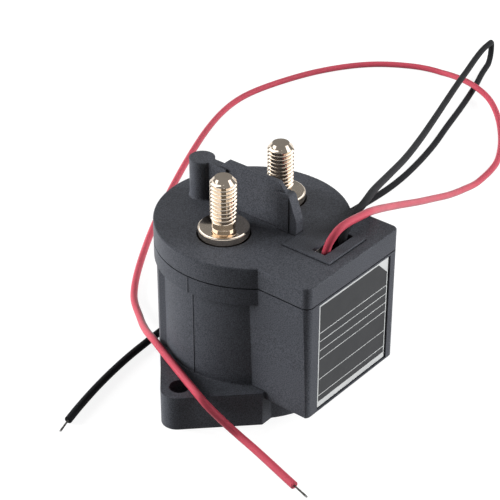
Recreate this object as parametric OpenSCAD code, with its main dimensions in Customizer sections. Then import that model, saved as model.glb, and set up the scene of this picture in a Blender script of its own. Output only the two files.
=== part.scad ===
// Sealed high voltage DC contactor: round body with an electronics box, two threaded
// terminals, a barrier between them, and two supply leads for the coil.
// Z is up, the base stands on z = 0, the plunger moves along the Z axis, the terminals
// lie on the X axis and the nameplate faces -Y.

/* [Housing] */
// Wall of the housing
wall = 2.3; // [1.8:0.1:3]
// Floor of the housing under the coil
floor_t = 3.4; // [2:0.1:5]
// How far the rim stands out from the round body
rim_step = 2.1; // [1:0.1:3]
// Height of the rim below the seam
rim_h = 5.75; // [3:0.05:8]
// Radius of the fuller back of the body, beyond the body's own
back_step = 1.4; // [0.8:0.1:1.9]
// Width of the fuller back of the body
back_w = 45.8; // [40:0.1:48]
// Width of the electronics box
box_w = 43.5; // [38:0.1:48]
// Distance from the plunger axis to the front face of the box
box_front = 37.75; // [36.5:0.05:42]
// Radius of the box's upright corners
box_r = 2.3; // [1.5:0.1:4]
// Height of the box's underside above the mounting surface
box_lift = 8.9; // [6:0.05:10]
// How far the box's sides draw in from the seam down to its underside
box_draft = 0.65; // [0.1:0.05:0.9]
// Height of the base with its mounting ears
base_h = 11.5; // [9:0.1:14]
// Distance from the plunger axis to the front edge of the base
base_front = 22.2; // [20:0.1:24]
// Rounding where the body meets the base
foot_edge = 0.25; // [0.1:0.05:1]
// Depth of the open joint line between housing and cover
seam_in = 0.45; // [0.2:0.05:0.6]
// Height of the open joint line
seam_h = 0.4; // [0.2:0.05:0.6]
// Width of the mould's parting line on the round body
parting_w = 0.35; // [0.2:0.05:0.6]
// How far the parting line stands out
parting_out = 0.12; // [0.05:0.01:0.2]

/* [Mounting ears] */
// Distance between the two mounting holes
hole_span = 70.4; // [68:0.1:76]
// Diameter of a mounting hole
hole_d = 6.2; // [5:0.1:7]
// Offset of the holes from the terminals' line, towards the box
hole_shift = 1.2; // [0:0.1:3]
// Radius of the ear's tip
ear_r = 4.8; // [4:0.1:6]
// How far the tip's centre lies outside the hole's
ear_out = 1.4; // [0:0.1:2]

/* [Cover] */
// Height of the cover's side
cover_h = 6.65; // [5:0.05:9]
// Thickness of the cover's top
cover_t = 2.5; // [2:0.1:4]
// Rounding of the cover's upper edge
cover_edge = 0.4; // [0.2:0.1:1.2]
// Room between the arc chamber and the cover
cover_gap = 0.8; // [0.3:0.1:2]
// Height of the tongue under the cover
tongue_h = 1.2; // [0.8:0.1:2]
// Thickness of the tongue
tongue_t = 0.6; // [0.4:0.05:0.8]

/* [Barrier] */
// Height of the rib and the post above the cover
rib_h = 12.6; // [8:0.1:16]
// Thickness of the rib at the post and at the box
rib_t = 3; // [2:0.1:4]
// Height of the thin wall above the rib
crest_h = 2.6; // [1:0.1:4]
// Thickness of the thin wall
crest_t = 1.5; // [1:0.1:2]
// Radius of the round post
post_r = 3.92; // [3.6:0.02:4.2]
// Height of the sloping foot round the post
post_foot = 0.3; // [0.1:0.1:1]
// Length of the rib between the post and the thin wall
neck_y = 10.4; // [8:0.1:12]
// Length of the crest's sloping ends
crest_run = 2.8; // [1:0.1:4]
// Length of the rib in front of the thin wall
pilaster_y = 4.3; // [3:0.1:6]
// Length of the sloping gusset
gusset_y = 2.8; // [2:0.1:4]
// Thickness of the gusset
gusset_t = 3.4; // [2:0.1:4]
// Height of the gusset's upright end above the cover
gusset_low = 4.3; // [2:0.1:7]
// Distance from the exit plate's back edge to the rib's front
pilaster_in = 2.85; // [2.85:0.05:4]

/* [Lead exit] */
// Width of the exit plate
exit_w = 17.3; // [15:0.1:20]
// Depth of the exit plate
exit_d = 16.65; // [14:0.05:17.5]
// Thickness of the exit plate
exit_t = 1.1; // [1:0.1:1.6]
// How far the exit plate stands above the cover
exit_rise = 0.5; // [0.1:0.1:0.6]
// Offset of the exit plate from the box's middle
exit_shift = 1.15; // [0:0.05:2]
// Gap round the exit plate
exit_gap = 0.3; // [0.1:0.05:0.5]
// Chamfer round the exit plate's upper edge
exit_chamfer = 0.15; // [0.1:0.05:0.4]
// Width of the ledge under the plate
exit_ledge = 1.2; // [0.8:0.1:2]
// Distance from the box's front face to the exit plate
exit_edge = 3.75; // [2.8:0.05:5]
// Width of the lead slot
slot_w = 13.4; // [10:0.1:14]
// Depth of the lead slot
slot_d = 4.6; // [4.2:0.1:6]
// Offset of the slot from the plate's middle
slot_shift = 0.75; // [0:0.05:1.5]
// Offset of the slot from the circuit board, towards the terminals
slot_back = 0.25; // [0:0.05:0.6]
// Diameter of a lead
lead_d = 2.4; // [1.6:0.1:2.4]
// Diameter of a stripped lead end
strand_d = 1.2; // [0.8:0.1:1.6]

/* [Nameplate] */
// Width of the nameplate
plate_w = 33.2; // [24:0.1:34]
// Height of the nameplate
plate_h = 35.8; // [28:0.1:36]
// Thickness of the nameplate
plate_t = 0.3; // [0.2:0.05:0.5]
// Depth of the nameplate's recess
plate_in = 0.8; // [0.5:0.05:1]
// Room round the nameplate in its recess
plate_gap = 0.45; // [0.2:0.05:0.8]
// Offset of the nameplate from the box's middle
plate_shift = 0.65; // [0:0.05:1]
// Distance from the seam down to the nameplate
plate_drop = 1.45; // [1:0.05:2]

/* [Terminals] */
// Distance between the two terminals
stud_span = 26.2; // [25:0.1:29]
// Major diameter of the terminal thread
stud_d = 8; // [8:0.1:8.5]
// Height of the terminals above the cover
stud_rise = 18.7; // [16:0.1:24]
// Height of the end chamfer
stud_chamfer = 1.6; // [0.5:0.1:2]
// Diameter of the flat end of a terminal
stud_end_d = 5.1; // [4:0.1:6]
// Diameter of the plain neck
neck_d = 6.9; // [6.4:0.1:7.4]
// Height of the plain neck
neck_h = 2.1; // [1:0.1:5]
// Diameter of the flange
flange_d = 15.3; // [14:0.1:16.5]
// Height of the flange above the cover
flange_rise = 2.5; // [0.8:0.1:3]
// Depth of the recess that holds the flange
recess_in = 1.05; // [0.6:0.05:1.4]
// Rounding of the flange's edge
flange_edge = 0.7; // [0.3:0.1:1]
// Diameter of the terminal's shoulder under the flange
shoulder_d = 12; // [10.5:0.1:13]

/* [Arc chamber] */
// Wall of the ceramic chamber
chamber_wall = 2; // [1.5:0.1:2.6]
// Outer height of the ceramic chamber
chamber_h = 16.5; // [15.5:0.1:20]
// Thickness of the ceramic chamber's top
chamber_top = 2.6; // [2:0.1:3.2]
// Height of the weld ring under the ceramic
ring_h = 1.5; // [1:0.1:2.5]
// Room between a terminal and the chamber's flat side
chamber_room = 1.1; // [0.8:0.1:2]
// Thickness of a blow-out magnet
magnet_t = 2.75; // [2:0.05:3.5]
// Width of a blow-out magnet
magnet_w = 14; // [10:0.1:16]
// Height of a blow-out magnet
magnet_h = 11; // [8:0.1:13]
// Room between the magnets' corners and the housing
magnet_room = 0.95; // [0.5:0.05:2]
// Diameter of the filling tube
tube_d = 2.6; // [2:0.1:3]
// Wall of the filling tube
tube_wall = 0.5; // [0.3:0.05:0.6]
// Height of the filling tube above the cover
tube_rise = 9.5; // [6:0.1:10]

/* [Contacts] */
// Travel of the plunger
stroke = 2.2; // [1.8:0.1:2.6]
// Open gap between the contact discs
contact_gap = 1.6; // [1.2:0.1:1.8]
// Diameter of a contact disc
tip_d = 6.4; // [5:0.1:7]
// Thickness of a contact disc
tip_t = 0.7; // [0.5:0.1:1]
// Thickness of the contact bridge
bridge_t = 2.4; // [1.8:0.1:2.6]
// Width of the contact bridge
bridge_w = 8.4; // [7:0.1:9]
// How far the bridge reaches past a terminal's middle
bridge_end = 4; // [3.6:0.1:4.4]
// Height of the contact spring when the contacts are open
contact_spring_h = 3.8; // [3.4:0.1:4.2]
// Thickness of the retaining ring above the bridge
clip_t = 0.8; // [0.5:0.1:1]

/* [Plunger and coil] */
// Diameter of the plunger shaft
shaft_d = 4; // [3.4:0.1:4.4]
// Diameter of the shaft's collar
collar_d = 8.4; // [7.6:0.1:9]
// Thickness of the shaft's collar
collar_t = 0.9; // [0.6:0.1:1.2]
// Diameter of the armature
armature_d = 15.2; // [14:0.1:16]
// Height of the armature
armature_h = 11; // [9:0.1:12]
// Wall of the plunger sleeve
sleeve_wall = 0.4; // [0.3:0.05:0.6]
// Height of the coil bobbin
bobbin_h = 24.2; // [23:0.1:28]
// Wall of the bobbin
bobbin_wall = 1.1; // [0.9:0.1:1.4]
// Thickness of the bobbin's flanges
bobbin_flange = 1.4; // [1.2:0.1:2]
// How far the winding stays inside the bobbin's flanges
winding_in = 1.1; // [0.5:0.1:3]
// Diameter of a coil pin
pin_d = 0.8; // [0.6:0.1:1]
// Distance between the coil pins
pin_span = 12; // [8:0.5:14]
// Wall of the yoke cup
yoke_wall = 1.6; // [1.2:0.1:2]
// Floor of the yoke cup
yoke_floor = 1.8; // [1.4:0.1:2.4]
// Thickness of the yoke plate
yoke_plate_t = 3; // [2:0.1:4]
// Room between the yoke and the housing
yoke_room = 1.2; // [0.6:0.1:1.6]
// Depth of the return spring's seats
spring_seat = 3.5; // [2.5:0.1:4.5]
// Wire of the return spring
return_wire = 0.6; // [0.4:0.05:0.8]
// Wire of the contact spring
contact_wire = 0.7; // [0.5:0.05:0.8]

/* [Coil economiser] */
// Thickness of the circuit board
board_t = 1.6; // [1:0.1:2]
// Height of the circuit board
board_h = 32.8; // [28:0.1:33]
// Room in front of the circuit board
board_room = 6.15; // [5.4:0.05:6.4]
// Length of the ribs that hold the circuit board
board_rib = 1.6; // [1:0.1:2.2]
// Diameter of the filter capacitor
capacitor_d = 6.3; // [5:0.1:8]
// Height of the filter capacitor
capacitor_h = 5; // [4:0.1:5.2]

/* [Hidden] */
$fn = 96;

// Small overlap for cuts that must break through a face
cut = 0.5;
// Gap between fixed pieces that sit against each other
seat_gap = 0.05;
// Radial running clearance of the shaft in its guides
run_gap = 0.05;
// Radial gap between the moving iron and its sleeve
sleeve_gap = 0.3;
// Room round loose fits
fit_gap = 0.25;
// Room round a terminal's flange and shoulder in the cover
flange_gap = 0.35;
shoulder_gap = 0.3;
// Room round the weld tongue in its groove
groove_gap = 0.1;
// How far a terminal's inner end hangs below the chamber's top
stud_inner = 4.2;
// Air left between the contact discs at the end of the stroke
closed_gap = 0.02;
// Room round the return spring in its seats
seat_room = 1.6;
// Radial room between a spring's wire and the shaft
spring_room = 0.35;
// Width of the retaining ring and length of the shaft above it
clip_w = 1.5;
shaft_end = 1;
shaft_chamfer = 0.4;
// Room between the filling tube and the chamber's wall, and round it in the post
tube_room = 0.3;
bore_gap = 0.4;
// Length of the tube's pinched end
pinch_h = 2;
// Offset of the post from the filling tube
post_out = 0.4;
// How far the gusset lies inside the rib's side and below its top
gusset_in = 0.2;
gusset_drop = 0.7;
// How far the weld ring's section lies inside the ceramic's
ring_in = 0.3;
// Height of the magnets above the weld ring
magnet_lift = 2;
// Length of a coil pin in the bobbin's flange
pin_depth = 3;

// Stack of heights from the mounting surface up to the cover's top
yoke_z = floor_t;
coil_z = yoke_z + yoke_floor;
plate_z = coil_z + bobbin_h;
ring_z = plate_z + yoke_plate_t;
chamber_z = ring_z + ring_h;
chamber_top_z = chamber_z + chamber_h;
cover_z = chamber_top_z + cover_gap + cover_t;
seam_z = cover_z - cover_h;
rim_z = seam_z - rim_h;
rib_z = cover_z + rib_h;
crest_z = rib_z + crest_h;
flange_z = cover_z + flange_rise;
recess_z = cover_z - recess_in;
stud_z = cover_z + stud_rise;
thread_z = flange_z + neck_h;

// Radii from the terminals out to the rim
stud_x = stud_span / 2;
chamber_flat = stud_x + stud_d / 2 + chamber_room + chamber_wall;
magnet_out = chamber_flat + seat_gap + magnet_t;
cavity_r = norm([magnet_out, magnet_w / 2]) + magnet_room;
body_r = cavity_r + wall;
rim_r = body_r + rim_step;
back_r = body_r + back_step;
yoke_r = cavity_r - yoke_room;
chamber_r = yoke_r - yoke_room;
yoke_in = yoke_r - yoke_wall;

// Base outline: each ear's back runs from the fuller back's corner to the ear's round tip
hole_x = hole_span / 2;
tip_x = hole_x + ear_out;
tip = [-tip_x, -hole_shift];
ear_reach = (tip_x + hole_shift) + ear_r * sqrt(2);
back_x = back_w / 2;
back_corner = [-back_x, sqrt(back_r * back_r - back_x * back_x)];
back_turn = atan2(back_corner[1] - tip[1], back_corner[0] - tip[0])
    + acos(ear_r / norm(back_corner - tip));
back_touch = tip + ear_r * [cos(back_turn), sin(back_turn)];

// Coil and plunger
armature_r = armature_d / 2;
sleeve_in = armature_r + sleeve_gap;
sleeve_r = sleeve_in + sleeve_wall;
bobbin_in = sleeve_r + fit_gap;
bobbin_out = bobbin_in + bobbin_wall;
bobbin_r = yoke_in - fit_gap;
winding_r = bobbin_r - winding_in;
armature_z = coil_z + sleeve_wall + seat_gap;
armature_top = armature_z + armature_h;
core_z = armature_top + stroke + seat_gap;
shaft_r = shaft_d / 2;
seat_r = shaft_r + return_wire + seat_room;

// Contacts, from the fixed discs down
tip_z = chamber_top_z - chamber_top - stud_inner;
bridge_top = tip_z - contact_gap - closed_gap - tip_t;
bridge_z = bridge_top - bridge_t;
collar_top = bridge_z - contact_spring_h;
clip_z = bridge_top + seat_gap;
clip_r = shaft_r + clip_w;
shaft_top = clip_z + clip_t + shaft_end;

// Filling tube and the post that covers it
tube_y = chamber_r - chamber_wall - tube_d / 2 - tube_room;
post_y = tube_y + post_out;
post_bore_r = tube_d / 2 + bore_gap;

// Box, lead exit and barrier along Y
box_x = box_w / 2;
box_in_x = box_x - wall;
box_in_y = box_front - wall;
box_in_z = box_lift + wall;
exit_front = -box_front + exit_edge;
exit_back = exit_front + exit_d;
exit_z = cover_z + exit_rise - exit_t;
pilaster_front = exit_back + pilaster_in;
gusset_front = pilaster_front - gusset_y;
gusset_foot = exit_back + exit_gap + seat_gap;
pilaster_back = pilaster_front + pilaster_y;
neck_front = post_y - neck_y;
crest_x = -crest_t / 2;
rib_x = -rib_t / 2;

// Circuit board and the parts on it
board_front = -box_in_y + board_room;
board_back = board_front + board_t;
board_mid = (board_front + board_back) / 2;
board_x = box_in_x - fit_gap;

// Nameplate
name_top = seam_z - plate_drop;
name_z = name_top - plate_h;
plate_face = -box_front + plate_in;

// Lead routes: up from the board through the slot, over the box, down to the surface
// that the contactor stands on, and along it
red_route = [[-2.2, -28.3, 44], [-2.2, -28.6, 51.4], [-1.9, -29.5, 55.9],
    [-0.6, -30.3, 58.6], [1.9, -30.6, 60], [5.5, -30.5, 60.1], [11, -29.7, 58.8],
    [21, -27.7, 55.7], [45.5, -19, 42.9], [71, -11.5, 29.9], [89, -6, 20.9],
    [106, -1.5, 12.9], [122, 2.5, 6.4], [137, 5.3, 2], [152.5, 8, 1.3], [164, 13, 1.3],
    [176, 20.5, 1.3], [186.5, 29, 2], [193, 37, 3.4], [197.5, 46.5, 4], [201, 56, 3.2],
    [204, 67, 1.3], [201, 80, 1.3], [191, 94.5, 1.3], [174, 106, 1.3], [152.5, 113.5, 1.3],
    [134, 116, 1.3], [115, 112.5, 1.3], [88.5, 102, 1.3], [51, 83.5, 1.3], [22.5, 67, 1.3],
    [3, 53, 1.3], [-9, 39, 4.4], [-18, 28, 9.3], [-24, 19, 12.9], [-28, 10, 12.9],
    [-34, -4, 12.9], [-36.3, -9.8, 12.7], [-36.2, -12.8, 10.6], [-34, -17.2, 5.5],
    [-33, -23, 2], [-39.3, -47.5, 1.3]];
red_end = [-41, -53.5, 1.3];
black_route = [[6, -28.3, 44], [6, -28.4, 50.6], [6.7, -28.4, 54.2], [8.7, -28, 55.9],
    [12, -27, 56.3], [17.8, -24.8, 55.8], [24.8, -22.5, 54.8], [38, -16.5, 50.9],
    [62, -5.7, 41.9], [88, 5.5, 32.9], [114, 16.8, 25.4], [138, 27, 19.9], [161, 36.3, 15.9],
    [179.5, 43.2, 13.7], [193.5, 48, 12.4], [205.5, 52, 11.7], [216, 55, 11.2],
    [222.4, 56.1, 10.9], [225.7, 57.3, 9.6], [227, 57.8, 6.1], [225.7, 57.3, 2.7],
    [222.4, 56.1, 1.3], [214, 53.5, 1.3], [201.5, 49, 1.3], [183.5, 43.5, 1.3],
    [166, 38.7, 1.3], [150, 34.2, 1.3], [135, 31, 1.3], [121, 29, 1.3], [108, 28.5, 1.3],
    [80, 30, 1.3], [50, 33, 1.3], [20, 34.5, 1.3], [-2, 32.5, 1.3], [-13.5, 31.5, 1.3],
    [-23.5, 30.5, 1.3], [-33, 29, 1.3], [-42.5, 27, 1.3], [-52, 24.5, 1.3],
    [-58.5, 22.5, 1.3]];
black_end = [-64, 20.5, 1.3];
lead_sides = 8;

plastic = [0.13, 0.135, 0.145];
plastic_lid = [0.16, 0.165, 0.175];
plate_grey = [0.2, 0.21, 0.22];
plated_brass = [0.85, 0.74, 0.52];
steel = [0.6, 0.6, 0.62];
ceramic = [0.92, 0.9, 0.86];
copper = [0.78, 0.45, 0.3];
silver = [0.8, 0.8, 0.8];
magnet_grey = [0.3, 0.3, 0.32];
bobbin_white = [0.85, 0.84, 0.8];
board_green = [0.1, 0.35, 0.2];
chip_black = [0.08, 0.08, 0.08];
lead_red = [0.8, 0.12, 0.18];
lead_black = [0.06, 0.06, 0.06];
tinned = [0.75, 0.75, 0.74];

// Tube swept along a list of points: one ring of corners at each point, square to the
// direction between its neighbours
function unit(v) = v / norm(v);
function heading(route, i) =
    unit(route[min(i + 1, len(route) - 1)] - route[max(i - 1, 0)]);
function side_of(h) = abs(h[2]) > 0.9 ? unit(cross(h, [0, 1, 0])) : unit(cross(h, [0, 0, 1]));
// Each ring's first corner stays as near as it can to the one before
function frames(route, i = 0, side = undef) =
    i == len(route) ? [] :
    let (h = heading(route, i))
    let (s = side == undef ? side_of(h) : unit(side - h * (side * h)))
    concat([[s, cross(h, s)]], frames(route, i + 1, s));
function ring_points(route, r, sides) =
    let (f = frames(route))
    [for (i = [0 : len(route) - 1])
        for (k = [0 : sides - 1])
            let (a = 360 * k / sides)
            route[i] + r * (cos(a) * f[i][0] + sin(a) * f[i][1])];
function tube_faces(rings, sides) = concat(
    [[for (k = [sides - 1 : -1 : 0]) k]],
    [for (i = [0 : rings - 2])
        for (k = [0 : sides - 1])
            let (n = (k + 1) % sides)
            [i * sides + k, i * sides + n, (i + 1) * sides + n, (i + 1) * sides + k]],
    [[for (k = [0 : sides - 1]) (rings - 1) * sides + k]]);

module swept_tube(route, d, sides) {
    polyhedron(
        points = ring_points(route, d / 2, sides),
        faces = tube_faces(len(route), sides));
}

module coil_spring(z0, z1, mean_r, wire, turns) {
    steps = turns * 16;
    rise = z1 - z0 - wire;
    route = [for (i = [0 : steps])
        let (a = 360 * turns * i / steps)
        [mean_r * cos(a), mean_r * sin(a), z0 + wire / 2 + rise * i / steps]];
    swept_tube(route, wire, 6);
}

module ring(r_out, r_in, h) {
    difference() {
        cylinder(r = r_out, h = h);
        translate([0, 0, -cut]) cylinder(r = r_in, h = h + 2 * cut);
    }
}

// Plan of the round body and the box together, drawn in by the given amount
module plan(inset, round_r) {
    circle(r = round_r - inset);
    box_plan(inset);
}

module box_plan(inset) {
    r = max(box_r - inset, 0.4);
    x = box_x - inset;
    y = box_front - inset;
    translate([-x, -y + r]) square([2 * x, y - r]);
    translate([-x + r, -y]) square([2 * (x - r), y]);
    for (side = [-1, 1])
        translate([side * (x - r), -y + r]) circle(r = r, $fn = 48);
}

// Hollow inside the housing and the cover: round for the coil, square for the board
module cavity_plan() {
    circle(r = cavity_r);
    translate([-box_in_x, -box_in_y]) square([2 * box_in_x, box_in_y]);
}

// Plan of one mounting ear with its sloping sides
module ear_plan() {
    h = ear_r / sqrt(2);
    translate(tip) circle(r = ear_r, $fn = 64);
    polygon([
        back_touch,
        back_corner,
        [0, 0],
        [0, -base_front],
        [-ear_reach + base_front, -base_front],
        tip - [h, h]]);
}

// The ears, and the round front between them under the box
module base_plan() {
    intersection() {
        circle(r = back_r);
        translate([-2 * back_r, -2 * back_r]) square([4 * back_r, 2 * back_r]);
    }
    ear_plan();
    mirror([1, 0]) ear_plan();
}

// Fuller back of the body, with upright sides
module back_plan() intersection() {
    circle(r = back_r);
    translate([-back_x, 0]) square([back_w, back_r]);
}

// Thin parting line of the mould on both sides of a cylinder
module parting_line(r, z0, z1) {
    translate([-r - parting_out, -parting_w / 2, z0])
        cube([2 * (r + parting_out), parting_w, z1 - z0]);
}

module housing() color(plastic) difference() {
    union() {
        linear_extrude(base_h) base_plan();
        cylinder(r = body_r, h = seam_z - seam_h);
        parting_line(body_r, base_h, rim_z);
        parting_line(rim_r, rim_z, seam_z - seam_h);
        translate([0, 0, base_h - cut])
            cylinder(r1 = body_r + foot_edge + cut, r2 = body_r, h = foot_edge + cut);
        linear_extrude(rim_z + cut) back_plan();
        translate([0, 0, rim_z]) cylinder(r = rim_r, h = seam_z - seam_h - rim_z);
        drafted_box();
        translate([0, 0, rim_z]) linear_extrude(seam_z - rim_z) plan(seam_in, rim_r);
    }
    translate([0, 0, floor_t]) cylinder(r = cavity_r, h = seam_z);
    difference() {
        translate([-box_in_x, -box_in_y, box_in_z]) cube([2 * box_in_x, box_in_y, seam_z]);
        board_guides();
    }
    translate([0, 0, seam_z - tongue_h - groove_gap]) linear_extrude(seam_z) tongue_plan(groove_gap);
    for (side = [-1, 1])
        translate([side * hole_x, -hole_shift, -cut]) cylinder(d = hole_d, h = base_h + 2 * cut);
    plate_recess();
}

// Box below the seam, with sides that draw in towards its underside
module drafted_box() difference() {
    translate([0, 0, box_lift]) linear_extrude(seam_z - seam_h - box_lift) box_plan(0);
    for (side = [0, 1]) mirror([side, 0, 0]) rotate([90, 0, 0]) linear_extrude(box_front + cut) polygon([
        [box_x, seam_z - seam_h],
        [box_x - box_draft, box_lift],
        [box_x - box_draft, box_lift - cut],
        [box_x + cut, box_lift - cut],
        [box_x + cut, seam_z - seam_h]]);
}

// Pairs of ribs on the box's side walls that hold the circuit board's edges
module board_guides() {
    for (side = [-1, 1])
        for (y = [board_front - seat_gap - board_rib, board_back + seat_gap])
            translate([side * box_in_x - board_rib, y, box_in_z - cut])
                cube([2 * board_rib, board_rib, board_h * 0.8]);
}

module plate_recess() {
    translate([plate_shift - plate_w / 2 - plate_gap, -box_front - cut, name_z - plate_gap])
        cube([plate_w + 2 * plate_gap, plate_in + cut, plate_h + 2 * plate_gap]);
}

// Weld tongue under the cover, or its groove in the housing when grown
module tongue_plan(grow) {
    mid = wall / 2;
    difference() {
        plan(mid - tongue_t / 2 - grow, rim_r);
        plan(mid + tongue_t / 2 + grow, rim_r);
    }
}

// Upright half profile with its outer upper edge rounded
module edge_profile(w) {
    square([w - cover_edge, cover_h]);
    square([w, cover_h - cover_edge]);
    translate([w - cover_edge, cover_h - cover_edge]) circle(r = cover_edge, $fn = 32);
}

// Cover block over the round body and the box, rounded along its upper edge
module rounded_slab() {
    corner = box_front - box_r;
    rotate_extrude() edge_profile(rim_r);
    rotate([90, 0, 0]) linear_extrude(corner) {
        edge_profile(box_x);
        mirror([1, 0]) edge_profile(box_x);
    }
    translate([box_x - box_r, 0, 0]) rotate([90, 0, -90])
        linear_extrude(2 * (box_x - box_r)) edge_profile(box_front);
    for (side = [-1, 1])
        translate([side * (box_x - box_r), -corner, 0]) rotate_extrude($fn = 48) edge_profile(box_r);
}

module top_cover() color(plastic_lid) difference() {
    union() {
        difference() {
            translate([0, 0, seam_z]) rounded_slab();
            translate([0, 0, seam_z - cut]) linear_extrude(cover_h - cover_t + cut) cavity_plan();
            exit_opening();
        }
        translate([0, 0, seam_z - tongue_h]) linear_extrude(tongue_h + cut) tongue_plan(0);
        barrier();
    }
    for (side = [-1, 1]) translate([side * stud_x, 0, 0]) {
        translate([0, 0, recess_z]) cylinder(r = flange_d / 2 + flange_gap, h = cover_h);
        translate([0, 0, seam_z]) cylinder(r = shoulder_d / 2 + shoulder_gap, h = cover_h + cut);
    }
    translate([0, tube_y, seam_z])
        cylinder(r = post_bore_r, h = cover_h + tube_rise + bore_gap, $fn = 48);
}

// Wall between the terminals: round post, rib, thin crest, pilaster and gusset
module barrier() {
    translate([0, post_y, cover_z - cut]) cylinder(r = post_r, h = rib_h + cut);
    translate([0, post_y, cover_z]) cylinder(r1 = post_r + post_foot, r2 = post_r, h = post_foot);
    translate([rib_x, neck_front, cover_z - cut]) cube([rib_t, neck_y, rib_h + cut]);
    translate([rib_x, pilaster_front, cover_z - cut]) cube([rib_t, pilaster_y, rib_h + cut]);
    side_profile(crest_x, crest_t, [
        [pilaster_back - cut, cover_z - cut],
        [neck_front + cut, cover_z - cut],
        [neck_front + cut, rib_z - cut],
        [neck_front + crest_run, rib_z - cut],
        [neck_front + crest_run, rib_z],
        [neck_front, crest_z],
        [pilaster_back, crest_z],
        [pilaster_back - crest_run, rib_z],
        [pilaster_back - crest_run, rib_z - cut],
        [pilaster_back - cut, rib_z - cut]]);
    side_profile(rib_x + gusset_in, gusset_t, [
        [pilaster_front + cut, cover_z - cut],
        [gusset_foot, cover_z - cut],
        [gusset_foot, cover_z + seat_gap],
        [gusset_front, cover_z + seat_gap],
        [gusset_front, cover_z + gusset_low],
        [pilaster_front, rib_z - gusset_drop],
        [pilaster_front + cut, rib_z - gusset_drop]]);
}

// Profile drawn in Y and Z, as thick along X as given
module side_profile(x, t, points) {
    translate([x, 0, 0]) rotate([90, 0, 90]) linear_extrude(t) polygon(points);
}

// Stepped opening for the exit plate and its ledge
module exit_opening() {
    x = exit_shift - exit_w / 2;
    translate([x - exit_gap, exit_front - exit_gap, exit_z - seat_gap])
        cube([exit_w + 2 * exit_gap, exit_d + 2 * exit_gap, cover_h]);
    translate([x + exit_ledge, exit_front + exit_ledge, seam_z])
        cube([exit_w - 2 * exit_ledge, exit_d - 2 * exit_ledge, cover_h]);
}

// Upright profile of a plate with its two upper corners chamfered
module plate_profile(w) {
    polygon([
        [0, 0],
        [w, 0],
        [w, exit_t - exit_chamfer],
        [w - exit_chamfer, exit_t],
        [exit_chamfer, exit_t],
        [0, exit_t - exit_chamfer]]);
}

module lead_exit_plate() color(plastic_lid) difference() {
    translate([exit_shift - exit_w / 2, exit_front, exit_z]) intersection() {
        translate([0, exit_d, 0]) rotate([90, 0, 0]) linear_extrude(exit_d) plate_profile(exit_w);
        rotate([90, 0, 90]) linear_extrude(exit_w) plate_profile(exit_d);
    }
    translate([exit_shift + slot_shift - slot_w / 2, board_mid + slot_back - slot_d / 2, exit_z - cut])
        cube([slot_w, slot_d, exit_t + 2 * cut]);
}

module label_plate() color(plate_grey)
    translate([plate_shift - plate_w / 2, plate_face - seat_gap - plate_t, name_z])
        cube([plate_w, plate_t, plate_h]);

// One turned terminal: inner shank, shoulder, flange, neck and threaded end
module terminal_stud(side) color(plated_brass)
    translate([side * stud_x, 0, 0]) rotate_extrude() polygon([
        [0, tip_z + tip_t],
        [stud_d / 2, tip_z + tip_t],
        [stud_d / 2, chamber_top_z],
        [shoulder_d / 2, chamber_top_z],
        [shoulder_d / 2, recess_z + seat_gap],
        [flange_d / 2, recess_z + seat_gap],
        [flange_d / 2, flange_z - flange_edge],
        [flange_d / 2 - flange_edge, flange_z],
        [neck_d / 2, flange_z],
        [neck_d / 2, thread_z],
        [stud_d / 2, thread_z],
        [stud_d / 2, stud_z - stud_chamfer],
        [stud_end_d / 2, stud_z],
        [0, stud_z]]);

// Chamber plan: a circle with flat sides towards the magnets
module chamber_plan(inset) intersection() {
    circle(r = chamber_r - inset);
    square([2 * (chamber_flat - inset), 2 * chamber_r], center = true);
}

module arc_chamber() color(ceramic) difference() {
    translate([0, 0, chamber_z]) linear_extrude(chamber_h) chamber_plan(0);
    translate([0, 0, chamber_z - cut]) linear_extrude(chamber_h - chamber_top + cut)
        chamber_plan(chamber_wall);
    for (side = [-1, 1])
        translate([side * stud_x, 0, chamber_z]) cylinder(r = stud_d / 2 + seat_gap, h = chamber_h + cut);
    translate([0, tube_y, chamber_z]) cylinder(r = tube_d / 2 + seat_gap, h = chamber_h + cut, $fn = 48);
}

module chamber_ring() color(steel) translate([0, 0, ring_z]) linear_extrude(ring_h) difference() {
    chamber_plan(ring_in);
    chamber_plan(chamber_wall - ring_in);
}

module fixed_tips() color(silver)
    for (side = [-1, 1])
        translate([side * stud_x, 0, tip_z]) cylinder(d = tip_d, h = tip_t);

module contact_bridge() color(copper) difference() {
    union() {
        translate([-stud_x, -bridge_w / 2, bridge_z]) cube([stud_span, bridge_w, bridge_t]);
        for (side = [-1, 1]) intersection() {
            translate([side * stud_x, 0, bridge_z]) cylinder(r = bridge_end, h = bridge_t);
            translate([side * stud_x - bridge_end, -bridge_w / 2, bridge_z])
                cube([2 * bridge_end, bridge_w, bridge_t]);
        }
    }
    translate([0, 0, bridge_z - cut]) cylinder(r = shaft_r + run_gap, h = bridge_t + 2 * cut);
}

module bridge_tips() color(silver)
    for (side = [-1, 1])
        translate([side * stud_x, 0, bridge_top]) cylinder(d = tip_d, h = tip_t);

module bridge_clip() color(steel) translate([0, 0, clip_z]) difference() {
    ring(clip_r, shaft_r, clip_t);
    translate([0, -shaft_r * 0.6, -cut]) cube([clip_r * 2, shaft_r * 1.2, clip_t + 2 * cut]);
}

module contact_spring() color(steel)
    coil_spring(collar_top, bridge_z, shaft_r + spring_room + contact_wire, contact_wire, 3);

module plunger_shaft() color(steel) rotate_extrude() polygon([
    [0, armature_z],
    [shaft_r, armature_z],
    [shaft_r, collar_top - collar_t],
    [collar_d / 2, collar_top - collar_t],
    [collar_d / 2, collar_top],
    [shaft_r, collar_top],
    [shaft_r, shaft_top - shaft_chamfer],
    [shaft_r - shaft_chamfer, shaft_top],
    [0, shaft_top]]);

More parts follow.
